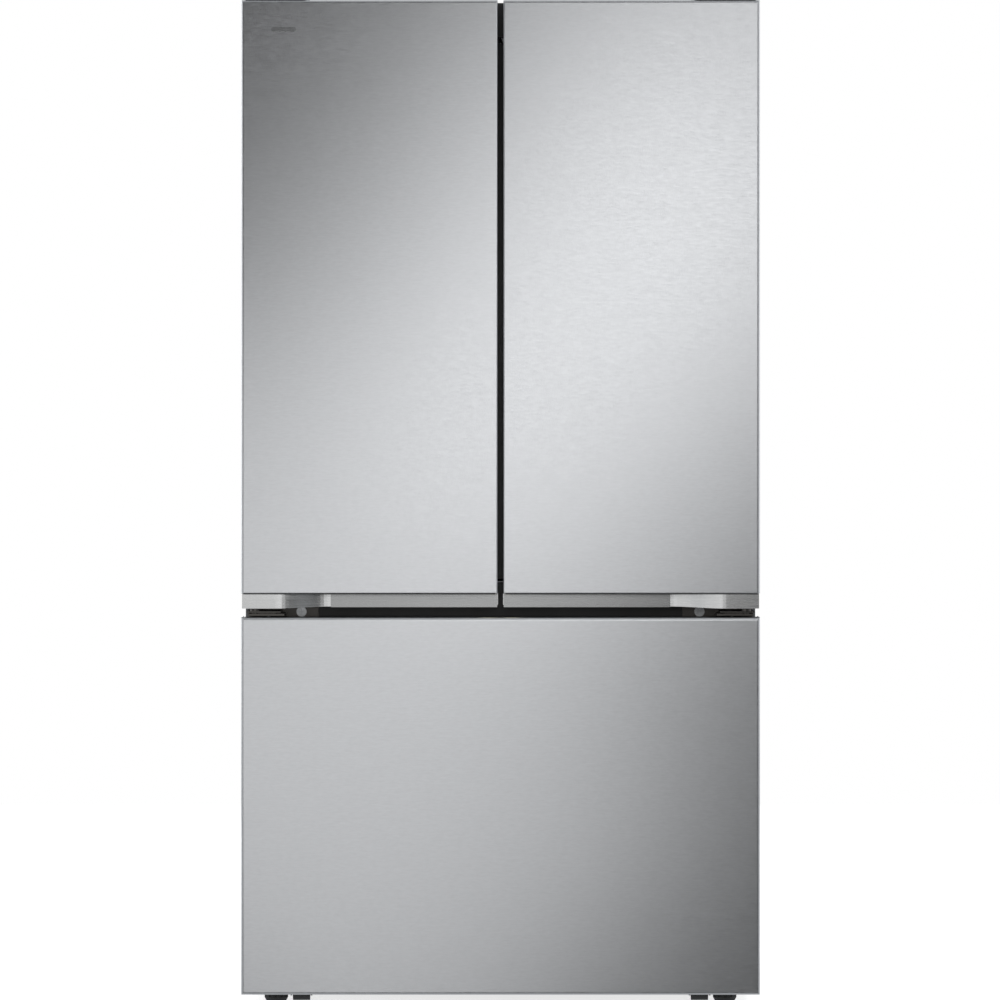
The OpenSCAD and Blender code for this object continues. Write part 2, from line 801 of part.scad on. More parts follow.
module flap_guide() {
    z = fridge_ceiling - liner;
    deep = guide_depth - 4;
    color("#d9dbdc") difference() {
        block([flap_axis_x - 8, case_front + 4, z - guide_depth], [flap_axis_x + 58, case_front + 62, z]);
        translate([flap_axis_x, flap_axis_y, z - guide_depth - eps]) intersection() {
            difference() {
                cylinder(r = guide_r + guide_pin_r + 2, h = deep + eps);
                translate([0, 0, -eps]) cylinder(r = guide_r - guide_pin_r - 2, h = deep + 3 * eps);
            }
            block([-guide_pin_r - 2, -20, 0], [60, 60, 20]);
        }
        block([flap_axis_x + guide_r - 6, case_front + 3, z - guide_depth - eps],
              [flap_axis_x + guide_r + 14, flap_axis_y, z - guide_depth + deep]);
    }
}

guide_depth = 13;

// ---------- the upper doors, drawn for the left one ----------

door_lo = [-half, front, panel_bottom];
door_hi = [-door_edge, door_back, door_top];

// How far back the strip's face lies at a distance s from the door's outer side
function strip_face(s) = front + strip_setback + grip_depth * ease((s - grip_start) / grip_curve);

curve_steps = [for (i = [0:16]) grip_start + grip_curve * i / 16];

// Plan of what the curved strip leaves open in front of it, as far as x_end
function open_plan(x_end) =
    concat([[x_end, front - eps], [-half + grip_start, front - eps]],
           [for (s = curve_steps) [-half + s, strip_face(s)]], [[x_end, strip_face(width)]]);

strip_end = -door_edge + 0.5;

// Front outline of the strip, with its rising lower edge and round inner corner
strip_outline = concat([[-half + 1.5, panel_bottom], [-half + 1.5, strip_bottom]],
    [for (s = curve_steps) [-half + s, strip_bottom + strip_rise * ease((s - grip_start) / grip_curve)]],
    arc(strip_end - strip_corner, strip_bottom + strip_rise + strip_corner, strip_corner, -90, 0),
    [[strip_end, panel_bottom]]);
pocket_end = -door_edge - 30;
pocket_start = -half + grip_start + 23;
pocket_wall = 3;

module door_skin() {
    bent_panel(door_lo, [door_hi.x, door_back - 4, door_top],
               panel_bend, inner_bend, inner_bend, panel_bend, hem, top_flange);
}

// The part of the handle cap that stands up inside the door
module cap_insert() {
    block([pocket_start - pocket_wall, front + hem, panel_bottom],
          [pocket_end + pocket_wall, strip_face(width) + pocket_wall, panel_bottom + grip_rise + pocket_wall]);
}

module door_foam() {
    difference() {
        front_form(door_lo + [sheet, sheet, sheet], [door_hi.x - sheet, door_back - liner, door_top - sheet],
                   panel_bend - sheet, inner_bend - sheet, inner_bend - sheet, panel_bend - sheet);
        block([-half, front, door_top - cap_top], [0, door_back, door_top]);
        cap_insert();
    }
}

module door_top_cap() {
    difference() {
        block([-half + sheet, front + top_flange, door_top - cap_top], [-door_edge - sheet, door_back - liner, door_top]);
        translate([axis_x, axis_y, door_top - cap_top + 3]) cylinder(r = hole_r, h = cap_top);
    }
}

module door_handle_cap() {
    difference() {
        union() {
            translate([0, door_back - liner, 0]) rotate([90, 0, 0])
                linear_extrude(door_back - liner - front - strip_setback) polygon(strip_outline);
            cap_insert();
        }
        translate([0, 0, strip_bottom - eps]) linear_extrude(strip_height + 1.5 * eps) polygon(open_plan(eps));
        translate([0, 0, panel_bottom - eps]) linear_extrude(grip_rise + eps) intersection() {
            polygon(open_plan(pocket_end));
            translate([pocket_start, front + hem + lip]) square([half, grip_depth + 10]);
        }
        translate([axis_x, axis_y, strip_bottom - eps]) cylinder(r = hole_r, h = 18 + eps);
    }
}

lug = [4.5, 12];
lug_drop = 0.45 * basket_height;

module door_liner() {
    block([-half + sheet, door_back - liner, strip_bottom + 6], [-door_edge - sheet, door_back, door_top - 1]);
    ring([-half + rim_side, door_back, rim_low], [-door_edge - rim_inner, rim_back, rim_high], rim_wall);
    for (level = [0:2], x = [basket_x0 - basket_side, basket_x1 + basket_side - lug.x])
        block([x, door_back, basket_z(level) + lug_drop - lug.y], [x + lug.x, rim_back - 4, basket_z(level) + lug_drop]);
}

module door_gasket() {
    lo = [-half + gasket_side, door_back, strip_bottom + gasket_end];
    hi = [-door_edge - gasket_inner, case_front, door_top - gasket_end + 6];
    ring(lo, [hi.x, door_back + 5, hi.z], gasket_width);
    ring(lo + [2.5, 5, 2.5], [hi.x - 2.5, case_front, hi.z - 2.5], gasket_width - 5);
}

basket_side = 5;
basket_x0 = -half + rim_side + rim_wall + basket_side;
basket_x1 = -door_edge - rim_inner - rim_wall - basket_side;
basket_pitch = (rim_high - rim_low) / 3;

function basket_z(level) = rim_low + rim_wall + 14 + basket_pitch * level;

module door_baskets() {
    for (level = [0:2])
        translate([0, 0, basket_z(level)]) {
            bin([basket_x0, door_back, 0], [basket_x1, door_back + basket_depth, basket_height], bin_wall);
            for (x = [basket_x0 - lug.x, basket_x1])
                block([x, door_back + 2, lug_drop], [x + lug.x, rim_back - 6, lug_drop + 8]);
        }
}

module left_door_skin() { color("#b9babc") door_skin(); }
module left_door_foam() { color("#e6d9a8") door_foam(); }
module left_door_liner() { color("#f2f3f3") door_liner(); }
module left_door_gasket() { color("#8d8f92") door_gasket(); }
module left_door_top_cap() { color("#5a5c5f") door_top_cap(); }
module left_door_handle_cap() { color("#c4c5c6") door_handle_cap(); }
module left_door_baskets() { color("#e3ecf0", 0.6) door_baskets(); }
module right_door_skin() { mirror([1, 0, 0]) left_door_skin(); }
module right_door_foam() { mirror([1, 0, 0]) left_door_foam(); }
module right_door_liner() { mirror([1, 0, 0]) left_door_liner(); }
module right_door_gasket() { mirror([1, 0, 0]) left_door_gasket(); }
module right_door_top_cap() { mirror([1, 0, 0]) left_door_top_cap(); }
module right_door_handle_cap() { mirror([1, 0, 0]) left_door_handle_cap(); }
module right_door_baskets() { mirror([1, 0, 0]) left_door_baskets(); }

module door_badge() {
    badge = [44, 8];
    color("#9c9ea1") translate([-half + 75, front, door_top - 52]) rotate([90, 0, 0]) linear_extrude(badge_proud) {
        square([badge.x - badge.y, badge.y], center = true);
        for (s = [-1, 1]) translate([s * (badge.x - badge.y) / 2, 0]) circle(r = badge.y / 2);
    }
}

// ---------- the flap behind the centre gap ----------

knuckle = 20;
knuckle_z = [flap_low + 40, (flap_low + flap_high - knuckle) / 2, flap_high - 40 - knuckle];
eye_r = 4;
pin_reach = 8;

module flap_brackets() {
    wall_x = -door_edge - rim_inner;
    color("#9a9da0") for (z = knuckle_z) {
        block([wall_x, flap_axis_y - eye_r, z], [flap_axis_x, flap_axis_y + eye_r, z + knuckle]);
        translate([flap_axis_x, flap_axis_y, z]) cylinder(r = eye_r, h = knuckle);
        translate([flap_axis_x, flap_axis_y, z - pin_reach]) cylinder(r = flap_pin_r, h = knuckle + 2 * pin_reach);
    }
}

module mullion_flap() {
    color("#34363a") difference() {
        union() {
            block([flap_left, flap_front, flap_low], [flap_left + flap_width, flap_front + flap_thickness, flap_high]);
            translate([flap_axis_x + guide_r, flap_axis_y, flap_high - eps])
                cylinder(r = guide_pin_r, h = eps + guide_depth - 5);
        }
        for (z = knuckle_z) {
            block([flap_left - eps, flap_front - eps, z - 1],
                  [flap_axis_x + eye_r + 1, flap_front + flap_thickness + eps, z + knuckle + 1]);
            translate([flap_axis_x, flap_axis_y, z - pin_reach - 1])
                cylinder(r = flap_pin_r + pin_clear, h = knuckle + 2 * pin_reach + 2);
        }
    }
}

// ---------- the freezer drawer ----------

freezer_cap_low = drawer_top - 40;

module freezer_skin() {
    color("#b9babc") bent_panel([-half, front, floor_clearance], [half, door_back - 4, drawer_top],
                                panel_bend, panel_bend, panel_bend, panel_bend + 1, top_flange, hem);
}

module freezer_door_foam() {
    color("#e6d9a8") difference() {
        front_form([-half + sheet, front + sheet, floor_clearance + sheet],
                   [half - sheet, door_back - liner, drawer_top - sheet],
                   panel_bend - sheet, panel_bend - sheet, panel_bend - sheet, panel_bend);
        block([-half, front + panel_bend, freezer_cap_low], [half, door_back, drawer_top]);
        block([-half, front, floor_clearance], [half, door_back, floor_clearance + 16]);
    }
}

module freezer_handle_cap() {
    end = half - drawer_grip_end;
    slope = 24;
    y0 = front + panel_bend + lip;
    y1 = y0 + grip_depth;
    color("#1c1d1f") difference() {
        block([-half + sheet, front + panel_bend, freezer_cap_low], [half - sheet, door_back - liner, drawer_top - 1]);
        block([-half, front, drawer_top - 8], [half, y0, drawer_top]);
        translate([0, 0, freezer_cap_low + 5]) linear_extrude(40)
            polygon([[-end, y0], [end, y0], [end - slope, y1], [-end + slope, y1]]);
    }
}

module freezer_bottom_cap() {
    color("#3a3c3f") block([-half + sheet, front + top_flange, floor_clearance],
                           [half - sheet, door_back - liner, floor_clearance + 16]);
}

module freezer_door_liner() {
    low = freezer_floor + liner + rim_gap;
    high = freezer_ceiling - liner - rim_gap;
    color("#f2f3f3") {
        block([-half + sheet, door_back - liner, floor_clearance + 2], [half - sheet, door_back, drawer_top - 3]);
        ring([-half + rim_side, door_back, low], [half - rim_side, rim_back, high], rim_wall);
    }
}

module freezer_gasket() {
    lo = [-half + gasket_side, door_back, floor_clearance + gasket_end + 14];
    hi = [half - gasket_side, case_front, drawer_top - gasket_end];
    color("#8d8f92") {
        ring(lo, [hi.x, door_back + 5, hi.z], gasket_width);
        ring(lo + [2.5, 5, 2.5], [hi.x - 2.5, case_front, hi.z - 2.5], gasket_width - 5);
    }
}

slide_wall = inside - liner;
slide_end = evaporator_front - slide_end_gap;
basket_half = slide_wall - 58;
basket_flange = 14;

module slide_channel(x0, x1, half_height, wall) {
    difference() {
        block([x0, slide_front, slide_z - half_height], [x1, slide_end, slide_z + half_height]);
        block([x0 - eps, slide_front - eps, slide_z - half_height + wall],
              [x1 - wall, slide_end + eps, slide_z + half_height - wall]);
    }
}

module outer_slides() {
    color("#aeb1b4") on_both_sides() slide_channel(slide_wall - 14, slide_wall, slide_height / 2, 2);
}

module middle_slides() {
    color("#9fa2a5") on_both_sides() slide_channel(slide_wall - 12, slide_wall - 3, slide_height / 2 - 3, 2);
}

module inner_slides() {
    x0 = basket_half + 1;
    color("#c3c6c9") on_both_sides() {
        block([slide_wall - 22, slide_front, slide_z - 13], [slide_wall - 6, slide_end, slide_z + 13]);
        block([x0, door_back, slide_z - 13], [slide_wall - 22, step_front - 20, slide_z - 10]);
        block([x0, door_back, slide_z - 60], [x0 + 25, door_back + 3, slide_z + 40]);
    }
}

module freezer_basket() {
    lo = [-basket_half, rim_back + 6, basket_low];
    hi = [basket_half, step_front - liner - 16, basket_rim];
    color("#e9eef1", 0.7) difference() {
        union() {
            block(lo, hi);
            block([lo.x - basket_flange, lo.y, basket_rim], [hi.x + basket_flange, hi.y, basket_rim + 4]);
        }
        block(lo + [bin_wall, bin_wall, bin_wall], [hi.x - bin_wall, hi.y - bin_wall, basket_rim + 4 + eps]);
    }
}

module upper_freezer_drawer() {
    w = slide_wall - 28;
    back = evaporator_front - 12;
    high = upper_low + upper_drawer_height;
    color("#e9eef1", 0.7) {
        bin([-w, slide_front + 4, upper_low], [w, back, high], bin_wall);
        on_both_sides() block([w, slide_front + 4, upper_ledge], [slide_wall - 6, back, upper_ledge + 3]);
        block([-160, slide_front - 6, high - 22], [160, slide_front + 4, high - 16]);
    }
}

// A fitting on the back whose stub takes a quarter-inch water line
module water_valve() {
    x = case_half - 150;
    z = machine_top + 70;
    stub_r = 3.175;
    color("#e8e4da") {
        block([x - 22, case_back, z - 18], [x + 22, case_back + 1.5, z + 18]);
        rod_y(x, case_back + 1.5, case_back + spacer_depth - 0.5, z, stub_r);
    }
}

cabinet_shell();
rear_panel();
cabinet_foam();
fridge_liner();
freezer_liner();
centre_rail();
base_frame();
machine_cover();
compressor();
condenser();
condenser_fan();
drain_pan();
top_hinges();
hinge_covers();
middle_hinges();
left_levelling_leg();
right_levelling_leg();
front_rollers();
rear_rollers();
evaporator();
evaporator_cover();
evaporator_fan();
air_duct();
ceiling_housing();
ceiling_lamp();
flap_guide();
shelf_rails();
shelf_frames();
shelf_panes();
crispers();
left_door_skin();
left_door_foam();
left_door_liner();
left_door_gasket();
left_door_top_cap();
left_door_handle_cap();
left_door_baskets();
door_badge();
flap_brackets();
mullion_flap();
right_door_skin();
right_door_foam();
right_door_liner();
right_door_gasket();
right_door_top_cap();
right_door_handle_cap();
right_door_baskets();
freezer_skin();
freezer_door_foam();
freezer_door_liner();
freezer_gasket();
freezer_handle_cap();
freezer_bottom_cap();
freezer_basket();
inner_slides();
middle_slides();
outer_slides();
upper_freezer_drawer();
water_valve();
case_screws();
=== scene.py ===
import json
import math
import bpy
import bmesh
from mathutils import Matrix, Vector


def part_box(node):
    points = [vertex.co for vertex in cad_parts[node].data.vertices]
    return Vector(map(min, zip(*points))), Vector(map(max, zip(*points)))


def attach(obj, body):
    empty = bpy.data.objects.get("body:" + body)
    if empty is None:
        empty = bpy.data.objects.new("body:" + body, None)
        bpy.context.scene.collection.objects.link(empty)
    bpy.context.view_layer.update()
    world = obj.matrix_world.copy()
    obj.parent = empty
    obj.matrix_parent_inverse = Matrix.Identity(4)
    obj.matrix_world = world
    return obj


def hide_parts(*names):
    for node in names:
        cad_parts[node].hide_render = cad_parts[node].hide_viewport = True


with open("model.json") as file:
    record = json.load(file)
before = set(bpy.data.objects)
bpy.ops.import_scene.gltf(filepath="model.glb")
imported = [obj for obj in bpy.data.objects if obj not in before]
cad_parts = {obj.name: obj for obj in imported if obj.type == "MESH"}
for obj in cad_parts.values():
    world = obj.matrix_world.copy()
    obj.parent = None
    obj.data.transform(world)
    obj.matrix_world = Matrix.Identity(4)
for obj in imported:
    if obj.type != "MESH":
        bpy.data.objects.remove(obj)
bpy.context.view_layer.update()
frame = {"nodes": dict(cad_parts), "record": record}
print("fridge: frame loaded,", len(frame["nodes"]), "nodes")


studio = {
    "cameraDistance": 7.3,   # from the door fronts
    "cameraHeight": 0.892,
    "cameraSide": -0.0009,
    "viewWidth": 1.7495,     # what the picture takes in at the door fronts
    "sensor": 36.0,
    "floorSize": 9.0,
    "floorTone": 0.9,
    "floorGlow": 0.72,
    "domeGlow": 0.46,        # pale dome all round, left dark in front of the doors
    "domeFrom": 0.90,
    "domeTo": 0.55,
}
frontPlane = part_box("left_door_skin")[0].y


def setCamera(look):
    data = bpy.data.cameras.new("studioCamera")
    data.sensor_width = look["sensor"]
    data.lens = look["sensor"] * look["cameraDistance"] / look["viewWidth"]
    data.clip_end = 100
    camera = bpy.data.objects.new("studioCamera", data)
    bpy.context.scene.collection.objects.link(camera)
    camera.location = (look["cameraSide"], frontPlane - look["cameraDistance"], look["cameraHeight"])
    camera.rotation_euler = (math.radians(90), 0, 0)
    bpy.context.scene.camera = camera


def setDome(look):
    # white where the camera sees past the fridge; a dim dome lights it, with a dark patch ahead of the doors
    world = bpy.data.worlds.new("studioWorld")
    bpy.context.scene.world = world
    world.use_nodes = True
    nodes, links = world.node_tree.nodes, world.node_tree.links
    seen = nodes["Background"]
    seen.inputs["Color"].default_value = (1, 1, 1, 1)
    dome = nodes.new("ShaderNodeBackground")
    dome.inputs["Color"].default_value = (0.95, 0.975, 1, 1)
    direction = nodes.new("ShaderNodeTexCoord")
    parts = nodes.new("ShaderNodeSeparateXYZ")
    ahead = nodes.new("ShaderNodeMapRange")
    ahead.inputs["From Min"].default_value = -look["domeFrom"]
    ahead.inputs["From Max"].default_value = -look["domeTo"]
    ahead.inputs["To Min"].default_value = 0
    ahead.inputs["To Max"].default_value = look["domeGlow"]
    links.new(direction.outputs["Generated"], parts.inputs["Vector"])
    links.new(parts.outputs["Y"], ahead.inputs["Value"])
    links.new(ahead.outputs["Result"], dome.inputs["Strength"])
    path = nodes.new("ShaderNodeLightPath")
    mix = nodes.new("ShaderNodeMixShader")
    links.new(path.outputs["Is Camera Ray"], mix.inputs["Fac"])
    links.new(dome.outputs["Background"], mix.inputs[1])
    links.new(seen.outputs["Background"], mix.inputs[2])
    links.new(mix.outputs["Shader"], nodes["World Output"].inputs["Surface"])


def setFloor(look):
    bpy.ops.mesh.primitive_plane_add(size=look["floorSize"], location=(0, 0, 0))
    floor = bpy.context.object
    floor.name = "studioFloor"
    floor.visible_glossy = False
    paper = bpy.data.materials.new("floorPaper")
    paper.use_nodes = True
    shader = paper.node_tree.nodes["Principled BSDF"]
    tone = look["floorTone"]
    shader.inputs["Base Color"].default_value = (tone, tone, tone, 1)
    shader.inputs["Roughness"].default_value = 0.9
    shader.inputs["Emission Color"].default_value = (1, 1, 1, 1)
    shader.inputs["Emission Strength"].default_value = look["floorGlow"]
    floor.data.materials.append(paper)


# each lamp: place, the point it faces, width, height, roll in degrees, watts
lamps = {
    "bandCore": ((0.163, -2.166, 1.262), (0.163, 0, 1.262), 0.5, 1.2, -38.7, 2.1),
    "bandWide": ((0.163, -2.166, 1.262), (0.163, 0, 1.262), 1.1, 1.2, -38.7, 2.3),
    "bandLow": ((-0.587, -2.166, 0.325), (-0.587, 0, 0.325), 1.8, 1.2, -38.7, 5.3),
    "bandBack": ((0.181, -3.166, 1.303), (0.181, 0, 1.303), 1.1, 1.2, -38.7, 1.7),
    "bandHigh": ((0.931, -3.166, 2.24), (0.931, 0, 2.24), 1.1, 1.2, -38.7, 5.2),
    "bandTip": ((0.931, -3.166, 2.24), (0.931, 0, 2.24), 0.5, 1.2, -38.7, 2.0),
    "overhead": ((0, -0.3, 3.8), (0, 0, 0), 3.4, 3.0, 0, 45),
    "leftWall": ((-3.2, 0.5, 1.6), (0, 0.1, 0.9), 2.0, 2.4, 0, 22),
    "rightWall": ((3.2, 0.5, 1.6), (0, 0.1, 0.9), 2.0, 2.4, 0, 14),
    "backWall": ((-0.8, 3.6, 1.9), (0, 0, 0.9), 2.6, 2.4, 0, 40),
}


def setLamps(places):
    for name, (place, target, width, height, roll, watts) in places.items():
        data = bpy.data.lights.new(name, "AREA")
        data.shape = "RECTANGLE"
        data.size, data.size_y, data.energy = width, height, watts
        lamp = bpy.data.objects.new(name, data)
        bpy.context.scene.collection.objects.link(lamp)
        lamp.location = place
        turn = (Vector(target) - Vector(place)).to_track_quat("-Z", "Y").to_euler()
        turn.rotate_axis("Z", math.radians(roll))
        lamp.rotation_euler = turn
        lamp.visible_camera = False
        lamp.visible_glossy = name != "overhead"  # or it burns out every upper edge


setCamera(studio)
setDome(studio)
setFloor(studio)
setLamps(lamps)
bpy.context.scene.view_settings.view_transform = "Standard"
print("fridge: camera, backdrop and lamps set")


def addNode(tree, kind, values=None, **settings):
    node = tree.nodes.new(kind)
    for key, value in settings.items():
        setattr(node, key, value)
    for key, value in (values or {}).items():
        node.inputs[key].default_value = value
    return node


def grainNoise(tree, stretch, scale, detail=3.0, offset=0.0):
    # noise laid on the piece's own place, drawn out where stretch is small
    place = addNode(tree, "ShaderNodeTexCoord")
    mapping = addNode(tree, "ShaderNodeMapping", {"Scale": stretch, "Location": (offset, offset, offset)})
    noise = addNode(tree, "ShaderNodeTexNoise", {"Scale": scale, "Detail": detail})
    tree.links.new(place.outputs["Object"], mapping.inputs["Vector"])
    tree.links.new(mapping.outputs["Vector"], noise.inputs["Vector"])
    return noise.outputs["Fac"]


def toRange(tree, value, low, high, fromLow=0.25, fromHigh=0.75):
    node = addNode(tree, "ShaderNodeMapRange", {"From Min": fromLow, "From Max": fromHigh,
                                                "To Min": low, "To Max": high})
    tree.links.new(value, node.inputs["Value"])
    return node.outputs["Result"]


def tintBetween(tree, value, dark, light):
    ramp = addNode(tree, "ShaderNodeValToRGB")
    ramp.color_ramp.elements[0].position = 0.3
    ramp.color_ramp.elements[1].position = 0.7
    ramp.color_ramp.elements[0].color = (*dark, 1)
    ramp.color_ramp.elements[1].color = (*light, 1)
    tree.links.new(value, ramp.inputs["Fac"])
    return ramp.outputs["Color"]


def shade(colour, factor):
    return tuple(min(1.0, part * factor) for part in colour)


def blendValues(tree, first, second, share=0.5):
    node = addNode(tree, "ShaderNodeMix", {"Factor": share})
    tree.links.new(first, node.inputs["A"])
    tree.links.new(second, node.inputs["B"])
    return node.outputs["Result"]


# every finish: kind, colour, roughness, and what its kind asks for
finishLooks = {
    "door_steel": {"kind": "brushed", "colour": (0.72, 0.732, 0.75), "rough": 0.34, "grain": 0.05},
    "satin_strip": {"kind": "brushed", "colour": (0.66, 0.665, 0.665), "rough": 0.26, "grain": 0.05,
                    "draw": 0.06},
    "case_paint": {"kind": "painted", "colour": (0.155, 0.16, 0.168), "rough": 0.46, "peel": 0.12},
    "rear_sheet": {"kind": "zinc", "colour": (0.46, 0.47, 0.48), "rough": 0.42},
    "frame_steel": {"kind": "painted", "colour": (0.035, 0.036, 0.038), "rough": 0.42, "peel": 0.1},
    "hinge_steel": {"kind": "zinc", "colour": (0.095, 0.09, 0.085), "rough": 0.36},
    "slide_steel": {"kind": "zinc", "colour": (0.62, 0.63, 0.64), "rough": 0.28},
    "screw_steel": {"kind": "zinc", "colour": (0.42, 0.43, 0.44), "rough": 0.3},
    "foam": {"kind": "foam", "colour": (0.83, 0.76, 0.54), "rough": 0.85},
    "liner": {"kind": "moulded", "colour": (0.82, 0.835, 0.84), "rough": 0.30, "texture": 0.05},
    "gasket": {"kind": "rubber", "colour": (0.20, 0.205, 0.21), "rough": 0.55},
    "dark_trim": {"kind": "moulded", "colour": (0.018, 0.018, 0.019), "rough": 0.40, "texture": 0.12},
    "clear_bin": {"kind": "clear", "colour": (0.93, 0.965, 0.985), "rough": 0.06, "through": 0.9},
    "shelf_glass": {"kind": "clear", "colour": (0.86, 0.965, 0.93), "rough": 0.02, "through": 1.0},
    "shelf_trim": {"kind": "moulded", "colour": (0.60, 0.61, 0.62), "rough": 0.32, "texture": 0.05},
    "lamp_lens": {"kind": "lit", "colour": (0.97, 0.98, 1.0), "rough": 0.35, "glow": 9.0},
    "black_rubber": {"kind": "rubber", "colour": (0.020, 0.020, 0.021), "rough": 0.62},
    "compressor_black": {"kind": "painted", "colour": (0.020, 0.020, 0.022), "rough": 0.30, "peel": 0.05},
    "coil": {"kind": "painted", "colour": (0.045, 0.046, 0.05), "rough": 0.36, "peel": 0.08},
    "evaporator_metal": {"kind": "brushed", "colour": (0.80, 0.81, 0.82), "rough": 0.30, "grain": 0.12},
    "fan_plastic": {"kind": "moulded", "colour": (0.025, 0.026, 0.028), "rough": 0.38, "texture": 0.06},
    "fitting": {"kind": "moulded", "colour": (0.72, 0.73, 0.74), "rough": 0.34, "texture": 0.04},
    "badge_metal": {"kind": "brushed", "colour": (0.64, 0.65, 0.66), "rough": 0.30, "grain": 0.03},
}


def startFinish(name, look):
    finish = bpy.data.materials.new(name)
    finish.use_nodes = True
    shader = finish.node_tree.nodes["Principled BSDF"]
    shader.inputs["Roughness"].default_value = look["rough"]
    return finish, finish.node_tree, shader


def addBump(tree, shader, height, strength, distance):
    bump = addNode(tree, "ShaderNodeBump", {"Strength": strength, "Distance": distance})
    tree.links.new(height, bump.inputs["Height"])
    tree.links.new(bump.outputs["Normal"], shader.inputs["Normal"])


def brushedFinish(name, look):
    # level hairlines over a faint mottle, as rolled and brushed sheet has
    finish, tree, shader = startFinish(name, look)
    shader.inputs["Metallic"].default_value = 1.0
    along = look.get("draw", 1)
    hairs = grainNoise(tree, (along, along, 18), 70, detail=4)
    mottle = grainNoise(tree, (along, along, 2.2), 95, detail=2, offset=3.1)
    mixed = blendValues(tree, hairs, mottle, 0.4)
    spread = look["grain"]
    tint = tintBetween(tree, mixed, shade(look["colour"], 1 - spread), shade(look["colour"], 1 + spread))
    tree.links.new(tint, shader.inputs["Base Color"])
    rough = toRange(tree, hairs, look["rough"] - 0.05, look["rough"] + 0.06)
    tree.links.new(rough, shader.inputs["Roughness"])
    addBump(tree, shader, mixed, 0.12, 0.0004)
    return finish


def paintedFinish(name, look):
    # powder coat: orange peel, a few darker specks, slight clouding
    finish, tree, shader = startFinish(name, look)
    peel = grainNoise(tree, (1, 1, 1), 620, detail=2)
    cloud = grainNoise(tree, (1, 1, 1), 9, detail=5, offset=1.7)
    tint = tintBetween(tree, cloud, shade(look["colour"], 0.965), shade(look["colour"], 1.03))
    tree.links.new(tint, shader.inputs["Base Color"])
    rough = toRange(tree, blendValues(tree, cloud, peel), look["rough"] - 0.03, look["rough"] + 0.05)
    tree.links.new(rough, shader.inputs["Roughness"])
    addBump(tree, shader, peel, look["peel"], 0.0005)
    return finish


def zincFinish(name, look):
    # plated or galvanised steel: spangles of slightly different tone
    finish, tree, shader = startFinish(name, look)
    shader.inputs["Metallic"].default_value = 1.0
    place = addNode(tree, "ShaderNodeTexCoord")
    spangle = addNode(tree, "ShaderNodeTexVoronoi", {"Scale": 260})
    tree.links.new(place.outputs["Object"], spangle.inputs["Vector"])
    tone = addNode(tree, "ShaderNodeRGBToBW")
    tree.links.new(spangle.outputs["Color"], tone.inputs["Color"])
    scratches = grainNoise(tree, (1, 9, 1), 130, detail=4, offset=0.6)
    mixed = blendValues(tree, tone.outputs["Val"], scratches, 0.5)
    tint = tintBetween(tree, mixed, shade(look["colour"], 0.93), shade(look["colour"], 1.06))
    tree.links.new(tint, shader.inputs["Base Color"])
    rough = toRange(tree, mixed, look["rough"] - 0.03, look["rough"] + 0.05)
    tree.links.new(rough, shader.inputs["Roughness"])
    addBump(tree, shader, scratches, 0.1, 0.0003)
    return finish


def mouldedFinish(name, look):
    # injection moulded or vacuum formed plastic with a fine matt texture
    finish, tree, shader = startFinish(name, look)
    fine = grainNoise(tree, (1, 1, 1), 900, detail=2)
    flow = grainNoise(tree, (1, 1, 0.3), 14, detail=4, offset=2.3)
    tint = tintBetween(tree, flow, shade(look["colour"], 0.965), shade(look["colour"], 1.03))
    tree.links.new(tint, shader.inputs["Base Color"])
    rough = toRange(tree, blendValues(tree, fine, flow), look["rough"] - 0.05, look["rough"] + 0.07)
    tree.links.new(rough, shader.inputs["Roughness"])
    addBump(tree, shader, fine, look["texture"], 0.0003)
    return finish


def clearFinish(name, look):
    # see-through styrene or glass, a little hazed by handling
    finish, tree, shader = startFinish(name, look)
    shader.inputs["Transmission Weight"].default_value = look["through"]
    shader.inputs["IOR"].default_value = 1.49
    haze = grainNoise(tree, (1, 1, 1), 22, detail=6)
    tint = tintBetween(tree, haze, shade(look["colour"], 0.985), shade(look["colour"], 1.02))
    tree.links.new(tint, shader.inputs["Base Color"])
    rough = toRange(tree, haze, look["rough"] * 0.5, look["rough"] * 1.8)
    tree.links.new(rough, shader.inputs["Roughness"])
    return finish


def rubberFinish(name, look):
    # soft extrusion: matt, with a dusty bloom
    finish, tree, shader = startFinish(name, look)
    bloom = grainNoise(tree, (1, 1, 1), 60, detail=6)
    fine = grainNoise(tree, (1, 1, 1), 1100, detail=1, offset=5.2)
    tint = tintBetween(tree, bloom, shade(look["colour"], 0.85), shade(look["colour"], 1.25))
    tree.links.new(tint, shader.inputs["Base Color"])
    rough = toRange(tree, bloom, look["rough"] - 0.08, look["rough"] + 0.12)
    tree.links.new(rough, shader.inputs["Roughness"])
    addBump(tree, shader, fine, 0.15, 0.0003)
    return finish


def foamFinish(name, look):
    # rigid polyurethane: closed cells, uneven yellow
    finish, tree, shader = startFinish(name, look)
    place = addNode(tree, "ShaderNodeTexCoord")
    cells = addNode(tree, "ShaderNodeTexVoronoi", {"Scale": 700})
    tree.links.new(place.outputs["Object"], cells.inputs["Vector"])
    patches = grainNoise(tree, (1, 1, 1), 25, detail=4)
    tint = tintBetween(tree, patches, shade(look["colour"], 0.85), shade(look["colour"], 1.08))
    tree.links.new(tint, shader.inputs["Base Color"])
    addBump(tree, shader, cells.outputs["Distance"], 0.5, 0.0008)
    return finish


